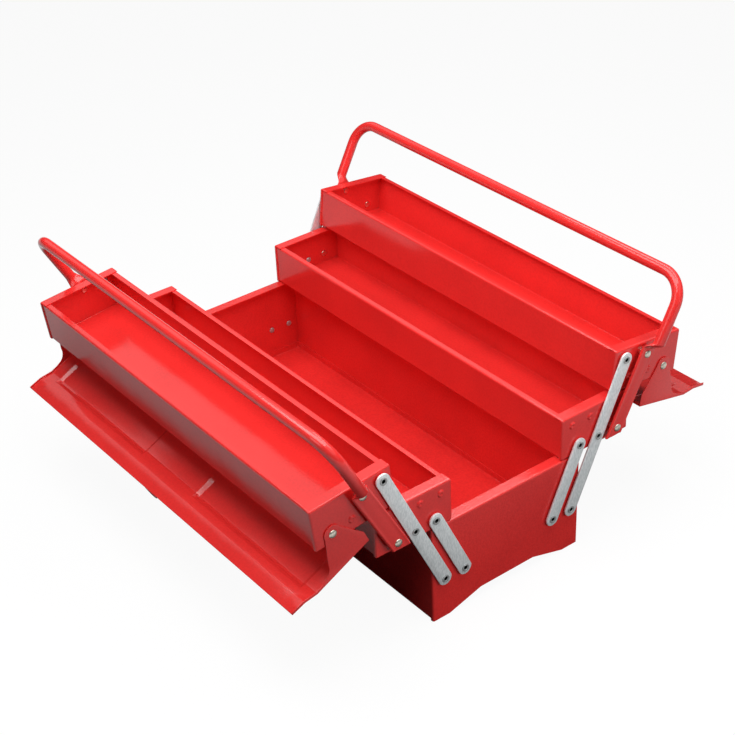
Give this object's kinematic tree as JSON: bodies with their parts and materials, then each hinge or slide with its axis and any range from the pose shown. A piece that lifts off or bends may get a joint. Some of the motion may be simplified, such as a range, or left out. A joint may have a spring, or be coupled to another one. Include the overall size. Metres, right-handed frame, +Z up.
{
  "type": "cantilever tool box",
  "caption": "Open steel tool box: a deep base with stacked trays that swing out to both sides on flat links, two hinged lids and two bent-tube carrying handles.",
  "frame": {"origin": "on the floor under the middle of the overall footprint, with the box open; the base's own middle plane is at y = -7.58 mm because the two lids hang at different slopes", "axes": "+Z up from the floor, +X along the box, +Y across it toward the lid that hangs flatter"},
  "size_m": [0.55, 0.5546, 0.2867],
  "materials": {
    "base_paint": "gloss red enamel over folded sheet, end plates a little duller",
    "tray_paint": "gloss red enamel over folded sheet",
    "lid_paint": "gloss red enamel over pressed sheet",
    "handle_paint": "gloss red enamel over bent tube",
    "hasp_paint": "gloss red enamel",
    "link_zinc": "bright zinc plate with faint slanted grain",
    "tubular_rivet": "zinc plate",
    "domed_rivet": "bright plate with a warm cast"
  },
  "bodies": {
    "base": {"base_floor": "base_paint", "base_end_near": "base_paint", "base_end_far": "base_paint", "left_base_wall": "base_paint", "right_base_wall": "base_paint", "left_base_rivets": "tubular_rivet", "right_base_rivets": "tubular_rivet"},
    "left_long_links": {"left_long_link_near": "link_zinc", "left_long_link_far": "link_zinc"},
    "left_short_links": {"left_short_link_near": "link_zinc", "left_short_link_far": "link_zinc"},
    "left_lower_tray": {"left_lower_tray_shell": "tray_paint", "left_lower_tray_end_near": "tray_paint", "left_lower_tray_end_far": "tray_paint", "left_lower_tray_link_rivets": "tubular_rivet", "left_lower_tray_strap_rivets": "domed_rivet"},
    "left_upper_tray": {"left_upper_tray_shell": "tray_paint", "left_upper_tray_end_near": "tray_paint", "left_upper_tray_end_far": "tray_paint", "left_upper_tray_link_rivets": "tubular_rivet", "left_upper_tray_strap_rivets": "domed_rivet", "left_upper_tray_lid_rivets": "domed_rivet"},
    "left_handle": {"left_handle": "handle_paint"},
    "left_lid": {"left_lid": "lid_paint", "left_hasp": "hasp_paint"},
    "right_long_links": {"right_long_link_near": "link_zinc", "right_long_link_far": "link_zinc"},
    "right_short_links": {"right_short_link_near": "link_zinc", "right_short_link_far": "link_zinc"},
    "right_lower_tray": {"right_lower_tray_shell": "tray_paint", "right_lower_tray_end_near": "tray_paint", "right_lower_tray_end_far": "tray_paint", "right_lower_tray_link_rivets": "tubular_rivet", "right_lower_tray_strap_rivets": "domed_rivet"},
    "right_upper_tray": {"right_upper_tray_shell": "tray_paint", "right_upper_tray_end_near": "tray_paint", "right_upper_tray_end_far": "tray_paint", "right_upper_tray_link_rivets": "tubular_rivet", "right_upper_tray_strap_rivets": "domed_rivet", "right_upper_tray_lid_rivets": "domed_rivet"},
    "right_handle": {"right_handle": "handle_paint"},
    "right_lid": {"right_lid": "lid_paint", "right_hasp": "hasp_paint"}
  },
  "joints": [
    {"name": "left_long_links_swing", "type": "hinge", "parent": "base", "child": "left_long_links", "pos_m": [0, -0.09359, 0.052], "axis": [-1, 0, 0], "range_deg": [0, 50.2]},
    {"name": "left_short_links_swing", "type": "hinge", "parent": "base", "child": "left_short_links", "pos_m": [0, -0.06759, 0.052], "axis": [-1, 0, 0], "range_deg": [0, 50.2]},
    {"name": "left_lower_tray_level", "type": "hinge", "parent": "left_long_links", "child": "left_lower_tray", "pos_m": [0, -0.12985, 0.12943], "axis": [-1, 0, 0], "range_deg": [-50.2, 0]},
    {"name": "left_upper_tray_level", "type": "hinge", "parent": "left_long_links", "child": "left_upper_tray", "pos_m": [0, -0.16612, 0.20685], "axis": [-1, 0, 0], "range_deg": [-44.2, 0]},
    {"name": "left_handle_swing", "type": "hinge", "parent": "left_lower_tray", "child": "left_handle", "pos_m": [0, -0.15387, 0.13062], "axis": [-1, 0, 0], "range_deg": [0, 51.27]},
    {"name": "left_lid_swing", "type": "hinge", "parent": "left_upper_tray", "child": "left_lid", "pos_m": [0, -0.22502, 0.17462], "axis": [-1, 0, 0], "range_deg": [0, 195.8]},
    {"name": "right_long_links_swing", "type": "hinge", "parent": "base", "child": "right_long_links", "pos_m": [0, 0.07841, 0.052], "axis": [1, 0, 0], "range_deg": [0, 50.2]},
    {"name": "right_short_links_swing", "type": "hinge", "parent": "base", "child": "right_short_links", "pos_m": [0, 0.05242, 0.052], "axis": [1, 0, 0], "range_deg": [0, 50.2]},
    {"name": "right_lower_tray_level", "type": "hinge", "parent": "right_long_links", "child": "right_lower_tray", "pos_m": [0, 0.11468, 0.12943], "axis": [1, 0, 0], "range_deg": [-50.2, 0]},
    {"name": "right_upper_tray_level", "type": "hinge", "parent": "right_long_links", "child": "right_upper_tray", "pos_m": [0, 0.15096, 0.20685], "axis": [1, 0, 0], "range_deg": [-44.2, 0]},
    {"name": "right_handle_swing", "type": "hinge", "parent": "right_lower_tray", "child": "right_handle", "pos_m": [0, 0.1387, 0.13062], "axis": [1, 0, 0], "range_deg": [0, 51.27]},
    {"name": "right_lid_swing", "type": "hinge", "parent": "right_upper_tray", "child": "right_lid", "pos_m": [0, 0.20985, 0.17462], "axis": [1, 0, 0], "range_deg": [0, 181]}
  ],
  "couplings": [
    {"joint": "left_short_links_swing", "follows": "left_long_links_swing", "ratio": 1},
    {"joint": "left_lower_tray_level", "follows": "left_long_links_swing", "ratio": -1},
    {"joint": "left_upper_tray_level", "follows": "left_long_links_swing", "ratio": -0.88048},
    {"joint": "left_handle_swing", "follows": "left_long_links_swing", "ratio": 1.0212},
    {"joint": "left_lid_swing", "follows": "left_long_links_swing", "ratio": 3.9003},
    {"joint": "right_short_links_swing", "follows": "right_long_links_swing", "ratio": 1},
    {"joint": "right_lower_tray_level", "follows": "right_long_links_swing", "ratio": -1},
    {"joint": "right_upper_tray_level", "follows": "right_long_links_swing", "ratio": -0.88048},
    {"joint": "right_handle_swing", "follows": "right_long_links_swing", "ratio": 1.0212},
    {"joint": "right_lid_swing", "follows": "right_long_links_swing", "ratio": 3.6054}
  ]
}
